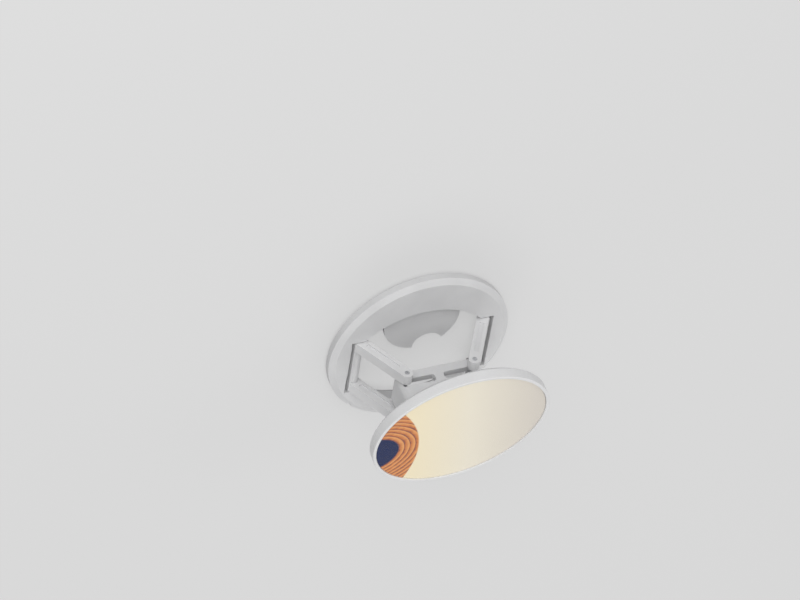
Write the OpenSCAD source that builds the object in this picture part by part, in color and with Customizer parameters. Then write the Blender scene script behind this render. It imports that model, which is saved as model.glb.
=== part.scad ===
// Foldable phone grip: stick-on ring base, two inward-leaning arms, sliding hub and tilting round top.
// Z is away from the adhesive face, X along the hub, Y across it. Millimetres.

/* [Base] */
// outer radius of the stick-on base
base_r = 19; // [15:0.5:25]
// thickness of the plastic base without its adhesive
base_h = 2.2; // [1.8:0.1:4]
// thickness of the adhesive pad
pad_t = 0.4; // [0.3:0.1:0.8]
// how far the adhesive stops inside the outer edge
pad_inset = 0.5; // [0.2:0.1:2]
// width of the bevel round the base's upper edge
bevel_w = 1.2; // [0.5:0.1:2]
// height of the same bevel
bevel_h = 0.8; // [0.4:0.1:1.2]
// radius of the two arcs that bound the opening
open_r = 17; // [12:0.5:20]
// top of the opening above the centre
open_top = 10.8; // [8:0.1:13]
// bottom of the opening below the centre
open_low = 14; // [10:0.1:16]
// radius of the floor tab that hangs into the opening
tab_r = 8; // [5:0.1:9]
// thickness of the floor tab
tab_t = 0.5; // [0.4:0.1:1]
// radius of the round notch in the floor tab
notch_r = 3.2; // [2:0.1:5]

/* [Arms] */
// distance of each base hinge from the base's outer edge
hinge_edge = 5.8; // [5:0.1:7]
// height of the base hinges over the adhesive face
hinge_z = 1.65; // [1.4:0.05:2]
// hinge to tip length of an arm
arm_l = 12.1; // [10:0.1:12.3]
// lean of the open arms from level, in degrees
arm_open = 60; // [50:1:70]
// lean of the arms when the grip is folded
arm_shut = 14; // [12:1:25]
// upper end of each arm frame along Y
arm_top = 5.3; // [4:0.1:7]
// lower end of each arm frame along Y
arm_low = -8.6; // [-10:0.1:-6]
// thickness of one arm bar along Y
bar_t = 2.3; // [1.5:0.1:3]
// width of one arm bar across its length
bar_w = 2.4; // [1.8:0.1:2.6]
// diameter of the hinge barrel
barrel_d = 2; // [1.8:0.1:2.2]
// reach of the flat heel beyond the hinge
heel_w = 1.1; // [0.9:0.1:1.4]
// thickness of the heel
heel_t = 1.2; // [0.8:0.1:1.6]
// diameter of the base hinge pins
hinge_pin_d = 1; // [0.8:0.1:1.2]
// diameter of the tip pins
tip_pin_d = 1; // [0.8:0.1:1.4]

/* [Hub] */
// half width of the hub along X
hub_x = 8.3; // [7:0.1:10]
// height of the hub's lower rim over the adhesive face
hub_z0 = 9.699; // [9:0.1:11]
// height of the hub's upper face over the adhesive face
hub_z1 = 20.099; // [17:0.1:22]
// wall of the hub
hub_wall = 1.3; // [0.8:0.1:2]
// rounding of the hub's upright edges
hub_r = 1.6; // [0.5:0.1:3]
// gap between hub walls and arm bars
hub_gap = 0.35; // [0.3:0.05:0.6]

/* [Top] */
// outer radius of the round top
top_r = 18.2; // [15:0.1:22]
// thickness of the round top
top_t = 2.6; // [2:0.1:4]
// width of the lip round the insert
lip_w = 0.7; // [0.5:0.1:1.5]
// tilt of the open top, in degrees
top_tilt = 10; // [0:1:15]
// how far the top's middle sits off the tilt axis along Y
top_off = 3; // [0:0.1:5]
// height of the top's back over the tilt axis
top_rise = 3.25; // [2.5:0.05:5]
// height of the tilt axis over the adhesive face
tilt_z = 18.599; // [16:0.1:20]
// diameter of the tilt pins
tilt_pin_d = 2; // [1.4:0.1:2.6]
// thickness of each ear behind the top
ear_t = 1.6; // [1.2:0.1:2.5]
// thickness of the friction washers
washer_t = 0.3; // [0.2:0.05:0.5]
// thickness of the insert plate
insert_t = 1; // [0.6:0.1:1.5]
// thickness of the insert's adhesive film
film_t = 0.15; // [0.1:0.05:0.3]
// thickness of the printed layer
print_t = 0.15; // [0.1:0.05:0.3]
// thickness of the clear face
clear_t = 0.2; // [0.1:0.05:0.4]

/* [Hidden] */
run = 0.05;
play = 0.3;
over = 1;
base_top = pad_t + base_h;
hinge_x = base_r - hinge_edge;
centre_top = open_top - open_r;
centre_low = open_r - open_low;
opening_x = hinge_x - barrel_d / 2;
slot_gap = 0.75;
heel_drop = 0.12;
heel_inset = 0.4;
pocket_x = hinge_x + heel_w + slot_gap;
pin_top = arm_top + 2.4;
pin_low = arm_low - 2.9;
tab_y = 6.8;
tab_x = 0.2;
notch_x = 2.2;
notch_y = -1;
tip_x = hinge_x - arm_l * cos(arm_open);
tip_z = hinge_z + arm_l * sin(arm_open);
shut_x = hinge_x - arm_l * cos(arm_shut);
hub_y1 = arm_top - bar_t - hub_gap;
hub_y0 = arm_low + bar_t + hub_gap;
hub_y = (hub_y0 + hub_y1) / 2;
hub_ly = hub_y1 - hub_y0;
shut_rate = (sin(arm_open) - sin(arm_shut)) / (arm_open - arm_shut);
level_lean = acos(shut_rate * 180 / PI);
slot_rise = arm_l * (sin(level_lean) - sin(arm_shut) - shut_rate * (level_lean - arm_shut)) + run;
hub_floor = 1.2;
inner_x = hub_x - hub_wall;
tilt_boss_r = 2.4;
tilt_depth = 4;
ear_x = hub_x + washer_t;
ear_r = 2.3;
ear_w = 4.6;
insert_r = top_r - lip_w - run;
seat_z = top_t - (film_t + insert_t + print_t + clear_t) - 0.1;
groove = 0.35;
chamfer = 0.5;

$fn = 72;

// lens-shaped opening between the two arcs, cut off where the arm pockets begin
module opening_2d(grow = 0) {
    intersection() {
        translate([0, centre_top]) circle(r = open_r + grow);
        translate([0, centre_low]) circle(r = open_r + grow);
        square([2 * (opening_x + run), 4 * base_r], center = true);
    }
}

// round floor tab with its notch, as seen through the opening
module tab_2d() {
    difference() {
        translate([tab_x, tab_y]) circle(r = tab_r);
        translate([notch_x, notch_y]) circle(r = notch_r);
    }
}

// bar-shaped pocket that one arm frame turns in
module pocket_2d(side) {
    x0 = side > 0 ? opening_x - over : -pocket_x;
    translate([x0, arm_low - play]) square([pocket_x - opening_x + over, arm_top - arm_low + 2 * play]);
}

module adhesive_pad() {
    color([0.8, 0.8, 0.81]) linear_extrude(pad_t) difference() {
        circle(r = base_r - pad_inset);
        difference() {
            opening_2d(play);
            tab_2d();
        }
        pocket_2d(1);
        pocket_2d(-1);
    }
}

module base() {
    color([0.9, 0.9, 0.91]) difference() {
        union() {
            difference() {
                union() {
                    translate([0, 0, pad_t]) cylinder(r = base_r, h = base_h - bevel_h, $fn = 96);
                    translate([0, 0, base_top - bevel_h])
                        cylinder(r1 = base_r, r2 = base_r - bevel_w, h = bevel_h, $fn = 96);
                }
                translate([0, 0, -over]) linear_extrude(base_top + 2 * over) opening_2d();
            }
            translate([0, 0, pad_t]) linear_extrude(tab_t) intersection() {
                tab_2d();
                opening_2d(play);
            }
        }
        // pockets of both arm frames
        translate([0, 0, -over]) linear_extrude(base_top + 2 * over) {
            pocket_2d(1);
            pocket_2d(-1);
        }
        // pin holes, open at the lower edge for assembly
        for (s = [-1, 1])
            translate([s * hinge_x, pin_top, hinge_z]) rotate([90, 0, 0])
                cylinder(d = hinge_pin_d, h = pin_top + base_r, $fn = 24);
    }
}

module hinge_pin(side) {
    color([0.72, 0.73, 0.75]) translate([side * hinge_x, pin_top, hinge_z]) rotate([90, 0, 0])
        cylinder(d = hinge_pin_d, h = pin_top - pin_low, $fn = 24);
}
module hinge_pin_left() hinge_pin(-1);
module hinge_pin_right() hinge_pin(1);

// one bar with round ends, lying along +X from the hinge and pushed out along Y
module bar(y0) {
    translate([0, y0 + bar_t, 0]) rotate([90, 0, 0]) difference() {
        linear_extrude(bar_t) {
            circle(d = bar_w, $fn = 36);
            translate([0, -bar_w / 2]) square([arm_l, bar_w]);
            translate([arm_l, 0]) circle(d = bar_w, $fn = 36);
        }
        // shallow channel on both faces of the bar
        for (z = [-over, bar_t - groove])
            translate([barrel_d, -bar_w / 5, z]) cube([arm_l - 2 * barrel_d, bar_w * 2 / 5, groove + over]);
    }
}

// frame of barrel, heel and two bars, turned about the hinge to the given lean
module arm_frame(lean) {
    rotate([0, -lean, 0]) difference() {
        union() {
            // the heel lies level while the arm leans
            rotate([0, lean, 0]) translate([-heel_w, arm_low + heel_inset, barrel_d / 2 - heel_drop - heel_t])
                cube([heel_w, arm_top - arm_low - 2 * heel_inset, heel_t]);
            translate([0, arm_top, 0]) rotate([90, 0, 0])
                cylinder(d = barrel_d, h = arm_top - arm_low, $fn = 36);
            bar(arm_top - bar_t);
            bar(arm_low);
        }
        translate([0, arm_top + over, 0]) rotate([90, 0, 0])
            cylinder(d = hinge_pin_d + 2 * run, h = arm_top - arm_low + 2 * over, $fn = 24);
        translate([arm_l, arm_top + over, 0]) rotate([90, 0, 0])
            cylinder(d = tip_pin_d, h = arm_top - arm_low + 2 * over, $fn = 24);
    }
}

module arm_left() {
    color([0.91, 0.91, 0.92]) translate([-hinge_x, 0, hinge_z]) arm_frame(arm_open);
}

module arm_right() {
    color([0.91, 0.91, 0.92]) mirror([1, 0, 0]) translate([-hinge_x, 0, hinge_z]) arm_frame(arm_open);
}

module tip_pin(side) {
    color([0.72, 0.73, 0.75]) translate([side * tip_x, arm_top, tip_z]) rotate([90, 0, 0])
        cylinder(d = tip_pin_d, h = arm_top - arm_low, $fn = 24);
}
module tip_pin_left() tip_pin(-1);
module tip_pin_right() tip_pin(1);

// rectangle with round corners about the hub's middle
module round_2d(hx, ly, r) {
    union() {
        square([2 * (hx - r), ly], center = true);
        square([2 * hx, ly - 2 * r], center = true);
        for (sx = [-1, 1], sy = [-1, 1])
            translate([sx * (hx - r), sy * (ly / 2 - r)]) circle(r = r, $fn = 36);
    }
}

// track that a tip pin slides in, from the open end to the folded end
module track(side) {
    h = tip_pin_d + 2 * run;
    x0 = side > 0 ? shut_x : -tip_x;
    translate([0, hub_y1 + over, tip_z]) rotate([90, 0, 0]) linear_extrude(hub_ly + 2 * over) {
        for (x = [tip_x, shut_x], z = [0, slot_rise]) translate([side * x, z]) circle(d = h, $fn = 24);
        translate([x0, -h / 2]) square([tip_x - shut_x, h + slot_rise]);
        for (x = [tip_x, shut_x]) translate([side * x - h / 2, 0]) square([h, slot_rise]);
    }
}

module hub() {
    color([0.88, 0.88, 0.89]) difference() {
        union() {
            difference() {
                translate([0, hub_y, hub_z0]) linear_extrude(hub_z1 - hub_z0) round_2d(hub_x, hub_ly, hub_r);
                translate([0, hub_y, hub_z0 - over]) linear_extrude(hub_z1 - hub_floor - hub_z0 + over)
                    round_2d(inner_x, hub_ly - 2 * hub_wall, hub_r - 0.6);
            }
            // bosses that hold the tilt pins
            for (s = [-1, 1])
                translate([s * (hub_x - tilt_depth) - (s > 0 ? 0 : tilt_depth - hub_wall / 2), 0, 0])
                    translate([0, hub_y, tilt_z]) rotate([0, 90, 0])
                        cylinder(r = tilt_boss_r, h = tilt_depth - hub_wall / 2, $fn = 36);
        }
        track(-1);
        track(1);
        for (s = [-1, 1])
            translate([s * (hub_x + over / 2), hub_y, tilt_z]) rotate([0, 90, 0])
                cylinder(d = tilt_pin_d, h = 2 * tilt_depth - 1, center = true, $fn = 24);
    }
}

module tilt_pin(side) {
    len = tilt_depth - 1 + washer_t + ear_t;
    x0 = side > 0 ? hub_x - tilt_depth + 1 : -(hub_x + washer_t + ear_t);
    color([0.72, 0.73, 0.75]) translate([x0, hub_y, tilt_z]) rotate([0, 90, 0])
        cylinder(d = tilt_pin_d, h = len, $fn = 24);
}
module tilt_pin_left() tilt_pin(-1);
module tilt_pin_right() tilt_pin(1);

module washer(side) {
    x0 = side > 0 ? hub_x : -hub_x - washer_t;
    color([0.6, 0.6, 0.62]) translate([x0, hub_y, tilt_z]) rotate([0, 90, 0]) difference() {
        cylinder(d = 2 * tilt_pin_d, h = washer_t, $fn = 36);
        translate([0, 0, -over]) cylinder(d = tilt_pin_d, h = washer_t + 2 * over, $fn = 24);
    }
}
module washer_left() washer(-1);
module washer_right() washer(1);

// puts a piece drawn in the top's own frame onto the tilted axis of the open grip
module on_top() {
    translate([0, hub_y, tilt_z]) rotate([top_tilt, 0, 0]) children();
}

module ear(side) {
    x0 = side > 0 ? ear_x : -ear_x - ear_t;
    translate([x0, 0, 0]) {
        rotate([0, 90, 0]) cylinder(r = ear_r, h = ear_t, $fn = 36);
        translate([0, -ear_w / 2, 0]) cube([ear_t, ear_w, top_rise + 0.2]);
    }
}

module top_housing() {
    color([0.92, 0.92, 0.93]) on_top() difference() {
        union() {
            translate([0, top_off, top_rise]) {
                cylinder(r1 = top_r - chamfer, r2 = top_r, h = chamfer, $fn = 96);
                translate([0, 0, chamfer]) cylinder(r = top_r, h = top_t - chamfer, $fn = 96);
            }
            ear(1);
            ear(-1);
        }
        translate([0, top_off, top_rise + seat_z]) cylinder(r = top_r - lip_w, h = top_t, $fn = 96);
        rotate([0, 90, 0]) cylinder(d = tilt_pin_d + 2 * run, h = 4 * hub_x, center = true, $fn = 24);
    }
}

// one round layer of the insert stack, counted from the seat
module layer(z, t) {
    on_top() translate([0, top_off, top_rise + seat_z + z]) cylinder(r = insert_r, h = t, $fn = 96);
}
module insert_film() color([0.85, 0.83, 0.7]) layer(0, film_t);
module insert_plate() color([0.75, 0.76, 0.78]) layer(film_t, insert_t);
module print_layer() color([0.86, 0.76, 0.6]) layer(film_t + insert_t, print_t);
module clear_face() color([0.92, 0.93, 0.95]) layer(film_t + insert_t + print_t, clear_t);

adhesive_pad();
base();
hinge_pin_left();
hinge_pin_right();
arm_left();
arm_right();
tip_pin_left();
tip_pin_right();
hub();
tilt_pin_left();
tilt_pin_right();
washer_left();
washer_right();
top_housing();
insert_film();
insert_plate();
print_layer();
clear_face();
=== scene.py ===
import math

import bmesh
import bpy
from mathutils import Matrix, Vector


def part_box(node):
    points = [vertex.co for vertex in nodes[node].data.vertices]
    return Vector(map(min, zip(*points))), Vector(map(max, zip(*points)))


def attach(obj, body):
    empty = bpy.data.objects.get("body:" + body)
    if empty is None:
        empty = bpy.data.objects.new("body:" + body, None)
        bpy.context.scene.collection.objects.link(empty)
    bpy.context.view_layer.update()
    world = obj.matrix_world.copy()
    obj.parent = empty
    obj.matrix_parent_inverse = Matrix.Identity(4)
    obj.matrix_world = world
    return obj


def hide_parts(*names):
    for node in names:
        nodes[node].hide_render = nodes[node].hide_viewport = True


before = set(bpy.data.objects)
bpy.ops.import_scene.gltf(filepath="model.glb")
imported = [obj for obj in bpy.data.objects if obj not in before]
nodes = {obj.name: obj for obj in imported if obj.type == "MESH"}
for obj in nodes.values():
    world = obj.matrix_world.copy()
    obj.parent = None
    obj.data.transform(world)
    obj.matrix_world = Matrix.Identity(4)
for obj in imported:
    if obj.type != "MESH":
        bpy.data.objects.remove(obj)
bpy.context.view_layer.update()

# Adhesive pad
# A ring of grey foam tape under the base, die-cut a little smaller than the plastic so that only a
# thin edge of it shows. It is pressed on at the factory.


def new_material(name):
    material = bpy.data.materials.new(name)
    material.use_nodes = True
    tree = material.node_tree
    shader = tree.nodes["Principled BSDF"]
    place = tree.nodes.new("ShaderNodeTexCoord")
    return material, tree, shader, place.outputs["Object"]


# Roughness from low to high over a fine noise, and a relief of the given depth from the same noise.
def grain(tree, shader, coordinates, scale, low, high, bump, depth):
    noise = tree.nodes.new("ShaderNodeTexNoise")
    noise.inputs["Scale"].default_value = scale
    noise.inputs["Detail"].default_value = 4.0
    tree.links.new(coordinates, noise.inputs["Vector"])
    spread = tree.nodes.new("ShaderNodeMapRange")
    spread.inputs["To Min"].default_value = low
    spread.inputs["To Max"].default_value = high
    tree.links.new(noise.outputs["Fac"], spread.inputs["Value"])
    tree.links.new(spread.outputs["Result"], shader.inputs["Roughness"])
    relief = tree.nodes.new("ShaderNodeBump")
    relief.inputs["Strength"].default_value = bump
    relief.inputs["Distance"].default_value = depth
    tree.links.new(noise.outputs["Fac"], relief.inputs["Height"])
    tree.links.new(relief.outputs["Normal"], shader.inputs["Normal"])


# A slow drift between two close colours.
def tint(tree, shader, coordinates, scale, first, second):
    noise = tree.nodes.new("ShaderNodeTexNoise")
    noise.inputs["Scale"].default_value = scale
    tree.links.new(coordinates, noise.inputs["Vector"])
    ramp = tree.nodes.new("ShaderNodeValToRGB")
    ramp.color_ramp.elements[0].position = 0.35
    ramp.color_ramp.elements[0].color = (*first, 1)
    ramp.color_ramp.elements[1].position = 0.65
    ramp.color_ramp.elements[1].color = (*second, 1)
    tree.links.new(noise.outputs["Fac"], ramp.inputs["Fac"])
    tree.links.new(ramp.outputs["Color"], shader.inputs["Base Color"])


def finish_node(name, material):
    node = nodes[name]
    node.data.materials.clear()
    node.data.materials.append(material)
    for face in node.data.polygons:
        face.material_index = 0


# Joins a node's loose triangles into whole faces and rounds the edges that are sharper than
# least_angle, in degrees. The width is in metres.
def soften(name, width, segments=2, least_angle=40.0):
    node = nodes[name]
    node.data.shade_smooth()
    join = node.modifiers.new("join", "WELD")
    join.merge_threshold = 0.000002
    flat = node.modifiers.new("flat", "DECIMATE")
    flat.decimate_type = "DISSOLVE"
    flat.angle_limit = math.radians(0.5)
    round_edge = node.modifiers.new("round_edge", "BEVEL")
    round_edge.width = width
    round_edge.segments = segments
    round_edge.limit_method = "ANGLE"
    round_edge.angle_limit = math.radians(least_angle)
    round_edge.use_clamp_overlap = True
    even = node.modifiers.new("even", "WEIGHTED_NORMAL")
    even.keep_sharp = True
    even.weight = 100


foam, tree, shader, place = new_material("pad_foam")
tint(tree, shader, place, scale=900.0, first=(0.42, 0.42, 0.43), second=(0.52, 0.52, 0.53))
grain(tree, shader, place, scale=4000.0, low=0.85, high=0.98, bump=0.5, depth=0.00005)
finish_node("adhesive_pad", foam)

# Base ring
# Moulded white polycarbonate with a fine satin texture and a bevel round its upper edge. The
# opening, the notched floor tab, the arm pockets and the pin holes come out of the same mould.


def moulded_plastic(name, first, second, low, high):
    material, tree, shader, place = new_material(name)
    tint(tree, shader, place, scale=160.0, first=first, second=second)
    grain(tree, shader, place, scale=5200.0, low=low, high=high, bump=0.12, depth=0.00002)
    shader.inputs["Specular IOR Level"].default_value = 0.45
    shader.inputs["Subsurface Weight"].default_value = 0.06
    shader.inputs["Subsurface Radius"].default_value = (0.0012, 0.0012, 0.0011)
    shader.inputs["Subsurface Scale"].default_value = 0.6
    return material


base_shade = (0.72, 0.72, 0.725)
base_bright = (0.76, 0.76, 0.765)
base_edge = 0.00018
base_least_angle = 24.0
base_white = moulded_plastic("base_plastic", base_shade, base_bright, low=0.34, high=0.46)
finish_node("base", base_white)
soften("base", base_edge, segments=3, least_angle=base_least_angle)

# Base hinge pins
# Two short lengths of drawn steel wire, pushed in from the base's lower edge. They carry the arm
# frames and are held by their press fit.


def drawn_steel(name):
    material, tree, shader, place = new_material(name)
    tint(tree, shader, place, scale=2600.0, first=(0.46, 0.47, 0.49), second=(0.60, 0.61, 0.63))
    grain(tree, shader, place, scale=6000.0, low=0.22, high=0.36, bump=0.1, depth=0.00001)
    shader.inputs["Metallic"].default_value = 1.0
    return material


steel = drawn_steel("pin_steel")
for name in ("hinge_pin_left", "hinge_pin_right"):
    finish_node(name, steel)

# Arm frames
# One moulding at each side: a hinge barrel with a flat heel and two bars, each with a shallow
# channel along its faces. The plastic is a touch glossier than the base.
arm_shade = (0.74, 0.74, 0.745)
arm_bright = (0.78, 0.78, 0.785)
arm_edge = 0.00009
arm_white = moulded_plastic("arm_plastic", arm_shade, arm_bright, low=0.28, high=0.4)
for name in ("arm_left", "arm_right"):
    finish_node(name, arm_white)
    soften(name, arm_edge)

# Tip pins
# The same steel wire, pressed through both bars of an arm frame. Its middle runs in the hub's
# tracks.
for name in ("tip_pin_left", "tip_pin_right"):
    finish_node(name, steel)

# Hub
# A hollow moulding between the arm bars with a track for each tip pin. It lifts and lowers the
# round top.
hub_shade = (0.70, 0.70, 0.705)
hub_bright = (0.74, 0.74, 0.745)
hub_edge = 0.0002
hub_white = moulded_plastic("hub_plastic", hub_shade, hub_bright, low=0.36, high=0.5)
finish_node("hub", hub_white)
soften("hub", hub_edge)

# Tilt pins and washers
# Two steel stubs pressed into the hub, each with a thin grey acetal washer that gives the top its
# friction.
for name in ("tilt_pin_left", "tilt_pin_right"):
    finish_node(name, steel)
washer_grey, tree, shader, place = new_material("washer_plastic")
tint(tree, shader, place, scale=1200.0, first=(0.38, 0.38, 0.4), second=(0.46, 0.46, 0.48))
grain(tree, shader, place, scale=4200.0, low=0.5, high=0.62, bump=0.1, depth=0.00001)
for name in ("washer_left", "washer_right"):
    finish_node(name, washer_grey)

# Round top
# White moulded shell with a thin upright lip round the seat of the insert and two ears behind that
# turn on the tilt pins.
top_shade = (0.77, 0.77, 0.775)
top_bright = (0.81, 0.81, 0.815)
top_edge = 0.00018
top_white = moulded_plastic("top_plastic", top_shade, top_bright, low=0.22, high=0.34)
finish_node("top_housing", top_white)
soften("top_housing", top_edge, segments=3)

# Insert
# A stamped aluminium disc on a film of clear glue. Its brushed edge is all that shows of it.
glue, tree, shader, place = new_material("film")
tint(tree, shader, place, scale=800.0, first=(0.68, 0.66, 0.52), second=(0.76, 0.74, 0.6))
grain(tree, shader, place, scale=3000.0, low=0.4, high=0.6, bump=0.1, depth=0.00001)
finish_node("insert_film", glue)
brushed, tree, shader, place = new_material("insert_metal")
tint(tree, shader, place, scale=2200.0, first=(0.52, 0.53, 0.55), second=(0.62, 0.63, 0.65))
grain(tree, shader, place, scale=5000.0, low=0.25, high=0.4, bump=0.1, depth=0.00001)
shader.inputs["Metallic"].default_value = 1.0
finish_node("insert_plate", brushed)
plate_edge = 0.00006
soften("insert_plate", plate_edge)

# Printed face
# Ink on the insert: a cream field that turns to warm grey, and at one end a generic figure of
# rust arcs round a navy half disc. All of it is drawn by formula.
top_low, top_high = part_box("print_layer")
print_middle = (top_low + top_high) / 2
print_turn = math.radians(10.5)
band_middle = -0.0357
band_radius = 0.027
band_soft = 0.00012
arc_middle = -0.0186
arc_radius = 0.0058
stripe_pitch = 0.00115
print_width = 0.035
print_gloss = 0.05
print_edge = 0.00002


def mapped(tree, coordinates, middle, turn):
    mapping = tree.nodes.new("ShaderNodeMapping")
    mapping.vector_type = "TEXTURE"
    mapping.inputs["Location"].default_value = middle
    mapping.inputs["Rotation"].default_value = (0.0, 0.0, turn)
    tree.links.new(coordinates, mapping.inputs["Vector"])
    split = tree.nodes.new("ShaderNodeSeparateXYZ")
    tree.links.new(mapping.outputs["Vector"], split.inputs["Vector"])
    return split


def sums(tree, operation, first, second=0.0, third=None):
    step = tree.nodes.new("ShaderNodeMath")
    step.operation = operation
    for slot, value in enumerate((first, second, third)):
        if value is None:
            continue
        if isinstance(value, (int, float)):
            step.inputs[slot].default_value = value
        else:
            tree.links.new(value, step.inputs[slot])
    return step.outputs["Value"]


def edge(tree, value, start, soft):
    ramp = tree.nodes.new("ShaderNodeMapRange")
    ramp.inputs["From Min"].default_value = start - soft
    ramp.inputs["From Max"].default_value = start + soft
    tree.links.new(value, ramp.inputs["Value"])
    return ramp.outputs["Result"]


def blended(tree, share, first, second):
    mix = tree.nodes.new("ShaderNodeMix")
    mix.data_type = "RGBA"
    tree.links.new(share, mix.inputs["Factor"])
    for socket, value in ((mix.inputs["A"], first), (mix.inputs["B"], second)):
        if isinstance(value, tuple):
            socket.default_value = (*value, 1)
        else:
            tree.links.new(value, socket)
    return mix.outputs["Result"]


def colour_ramp(tree, share, stops):
    ramp = tree.nodes.new("ShaderNodeValToRGB")
    elements = ramp.color_ramp.elements
    while len(elements) < len(stops):
        elements.new(0.5)
    for element, (position, colour) in zip(elements, stops):
        element.position = position
        element.color = (*colour, 1)
    tree.links.new(share, ramp.inputs["Fac"])
    return ramp.outputs["Color"]


printed, tree, shader, place = new_material("print")
split = mapped(tree, place, print_middle, print_turn)
across = split.outputs["X"]
along = split.outputs["Y"]
reach = sums(tree, "MULTIPLY_ADD", across, 1 / print_width, 0.5)
cream = (0.98, 0.87, 0.62)
sand = (0.92, 0.86, 0.72)
warm_grey = (0.74, 0.69, 0.62)
field = colour_ramp(tree, reach, ((0.2, cream), (0.55, sand), (0.95, warm_grey)))
shifted = sums(tree, "SUBTRACT", across, arc_middle)
far = sums(tree, "SQRT", sums(tree, "ADD", sums(tree, "MULTIPLY", shifted, shifted),
                              sums(tree, "MULTIPLY", along, along)))
rings = sums(tree, "FRACT", sums(tree, "DIVIDE", far, stripe_pitch))
ink = tree.nodes.new("ShaderNodeTexNoise")
ink.inputs["Scale"].default_value = 900.0
ink.inputs["Detail"].default_value = 6.0
tree.links.new(place, ink.inputs["Vector"])
ink_part = 0.5
ring_part = 0.6
ringed = sums(tree, "MULTIPLY", rings, ring_part)
ring_share = sums(tree, "MULTIPLY_ADD", ink.outputs["Fac"], ink_part, ringed)
rust = (0.62, 0.2, 0.06)
amber = (0.84, 0.38, 0.13)
plum = (0.28, 0.09, 0.07)
arcs = colour_ramp(tree, ring_share, ((0.3, plum), (0.45, rust), (0.75, amber)))
navy = (0.001, 0.012, 0.085)
band = blended(tree, edge(tree, far, arc_radius, band_soft), navy, arcs)
offset = sums(tree, "SUBTRACT", across, band_middle)
spread = sums(tree, "SQRT", sums(tree, "ADD", sums(tree, "MULTIPLY", offset, offset),
                                 sums(tree, "MULTIPLY", along, along)))
figure = blended(tree, edge(tree, spread, band_radius, band_soft), band, field)
tree.links.new(figure, shader.inputs["Base Color"])
grain(tree, shader, place, scale=3600.0, low=0.3, high=0.4, bump=0.05, depth=0.00001)
shader.inputs["Specular IOR Level"].default_value = print_gloss
finish_node("print_layer", printed)
soften("print_layer", print_edge)

# Clear face
# A thin disc of clear acrylic with a softened rim. It lies just over the print and is held by the
# lip of the round top.
cover_radius = 0.01743
cover_thick = 0.00018
cover_rim = 0.00008
cover_alpha = 0.02
cover_segments = 160
sharp_side = 1.0
tilt_axis = Vector((0.0, -0.00165, 0.018599))
cover_seat = Vector((0.0, 0.003, 0.00557))
top_lean = math.radians(10.0)
lacquer, tree, shader, place = new_material("clear")
tint(tree, shader, place, scale=300.0, first=(0.97, 0.97, 0.98), second=(1.0, 1.0, 1.0))
grain(tree, shader, place, scale=900.0, low=0.05, high=0.1, bump=0.02, depth=0.00001)
shader.inputs["Alpha"].default_value = cover_alpha
shape = bmesh.new()
bmesh.ops.create_circle(shape, cap_ends=True, radius=cover_radius, segments=cover_segments)
raised = bmesh.ops.extrude_face_region(shape, geom=shape.faces[:])
lifted = [part for part in raised["geom"] if isinstance(part, bmesh.types.BMVert)]
bmesh.ops.translate(shape, verts=lifted, vec=(0, 0, cover_thick))
bmesh.ops.recalc_face_normals(shape, faces=shape.faces)
rim = [side for side in shape.edges if side.is_manifold and side.calc_face_angle() > sharp_side]
bmesh.ops.bevel(shape, geom=rim, offset=cover_rim, segments=3, profile=0.5, affect="EDGES", material=-1)
leaned = Matrix.Translation(tilt_axis) @ Matrix.Rotation(top_lean, 4, "X") @ Matrix.Translation(cover_seat)
bmesh.ops.transform(shape, matrix=leaned, verts=shape.verts)
mesh = bpy.data.meshes.new("clear_cover")
shape.to_mesh(mesh)
shape.free()
cover = bpy.data.objects.new("clear_cover", mesh)
bpy.context.scene.collection.objects.link(cover)
cover.data.materials.append(lacquer)
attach(cover, "top")
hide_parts("clear_face")

# Floor
# A pale plane where the adhesive face rests. The camera sees it as plain light grey with the
# grip's own soft shadow.
floor_glow = 0.45
floor_grey = (0.27, 0.27, 0.27, 1)
floor_half = 3.0
floor_height = -0.00002


def plane(name, half, height):
    mesh = bpy.data.meshes.new(name)
    shape = bmesh.new()
    bmesh.ops.create_grid(shape, x_segments=1, y_segments=1, size=half)
    bmesh.ops.translate(shape, verts=shape.verts, vec=(0, 0, height))
    shape.to_mesh(mesh)
    shape.free()
    thing = bpy.data.objects.new(name, mesh)
    bpy.context.scene.collection.objects.link(thing)
    return thing


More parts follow.
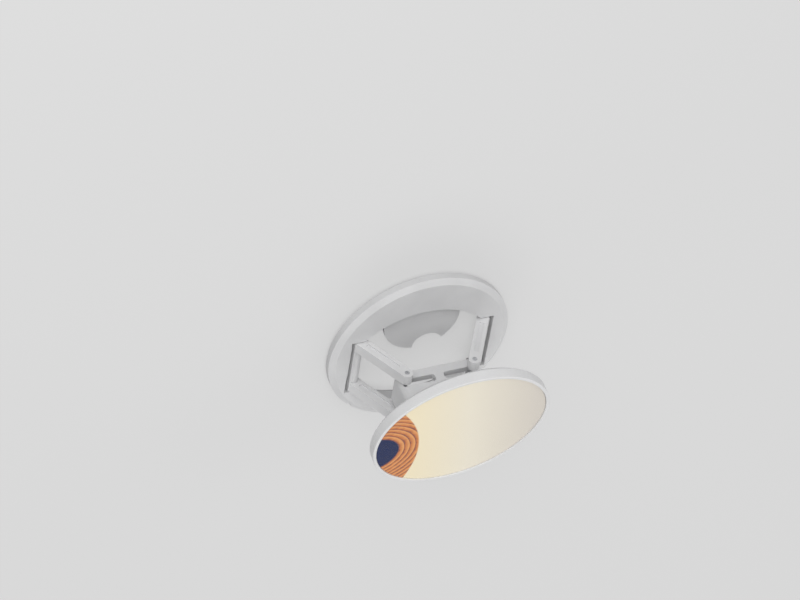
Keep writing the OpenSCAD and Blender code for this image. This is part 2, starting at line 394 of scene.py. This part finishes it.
floor = plane("floor", floor_half, floor_height)
floor_paint, tree, shader, place = new_material("floor_paint")
shader.inputs["Base Color"].default_value = floor_grey
shader.inputs["Roughness"].default_value = 0.8
shader.inputs["Specular IOR Level"].default_value = 0.0
shader.inputs["Emission Color"].default_value = (1, 1, 1, 1)
rays = tree.nodes.new("ShaderNodeLightPath")
seen = sums(tree, "MAXIMUM", rays.outputs["Is Camera Ray"], rays.outputs["Is Glossy Ray"])
seen = sums(tree, "MAXIMUM", seen, rays.outputs["Is Transmission Ray"])
tree.links.new(sums(tree, "MULTIPLY", seen, floor_glow), shader.inputs["Emission Strength"])
floor.data.materials.append(floor_paint)

# Light
# A soft box above and to the left of the view, a weaker one at its right, one over the round top,
# and an even white world. The view's own three directions place the first two and the camera.


def soft_box(name, toward, size, power):
    data = bpy.data.lights.new(name, "AREA")
    data.size = size
    data.energy = power
    lamp = bpy.data.objects.new(name, data)
    lamp.location = toward
    lamp.rotation_euler = Vector(toward).to_track_quat("Z", "Y").to_euler()
    bpy.context.scene.collection.objects.link(lamp)


view_right = Vector((0.9256, 0.1224, 0.358))
view_up = Vector((0.184, 0.6814, -0.708))
view_back = Vector((-0.3307, 0.7215, 0.608))
upper_place = view_up * 0.25 + view_back * 0.3 - view_right * 0.1 + Vector((0, 0, 0.2))
side_place = view_right * 0.5 + view_up * 0.2 + Vector((0, 0, 0.25))
top_place = Vector((0.02, -0.22, 0.5))
soft_box("upper_box", upper_place, size=0.3, power=0.8)
soft_box("side_box", side_place, size=0.25, power=0.3)
soft_box("top_box", top_place, size=0.3, power=0.6)
world_level = 0.58
world = bpy.data.worlds.new("world")
bpy.context.scene.world = world
world.use_nodes = True
world.node_tree.nodes["Background"].inputs["Color"].default_value = (1, 1, 1, 1)
world.node_tree.nodes["Background"].inputs["Strength"].default_value = world_level

# Camera
# A long lens over the base's upper left side, turned by the view's three directions so that the
# grip lies aslant in the frame.
camera_place = Vector((-0.2628, 0.5754, 0.4743))
lens_mm = 180.0
camera_data = bpy.data.cameras.new("camera")
camera_data.lens = lens_mm
camera_data.sensor_width = 36.0
camera = bpy.data.objects.new("camera", camera_data)
turn = Matrix((view_right.normalized(), view_up.normalized(), view_back.normalized())).transposed()
camera.matrix_world = Matrix.Translation(camera_place) @ turn.to_4x4()
bpy.context.scene.collection.objects.link(camera)
bpy.context.scene.camera = camera

bpy.context.scene.view_settings.view_transform = "Standard"
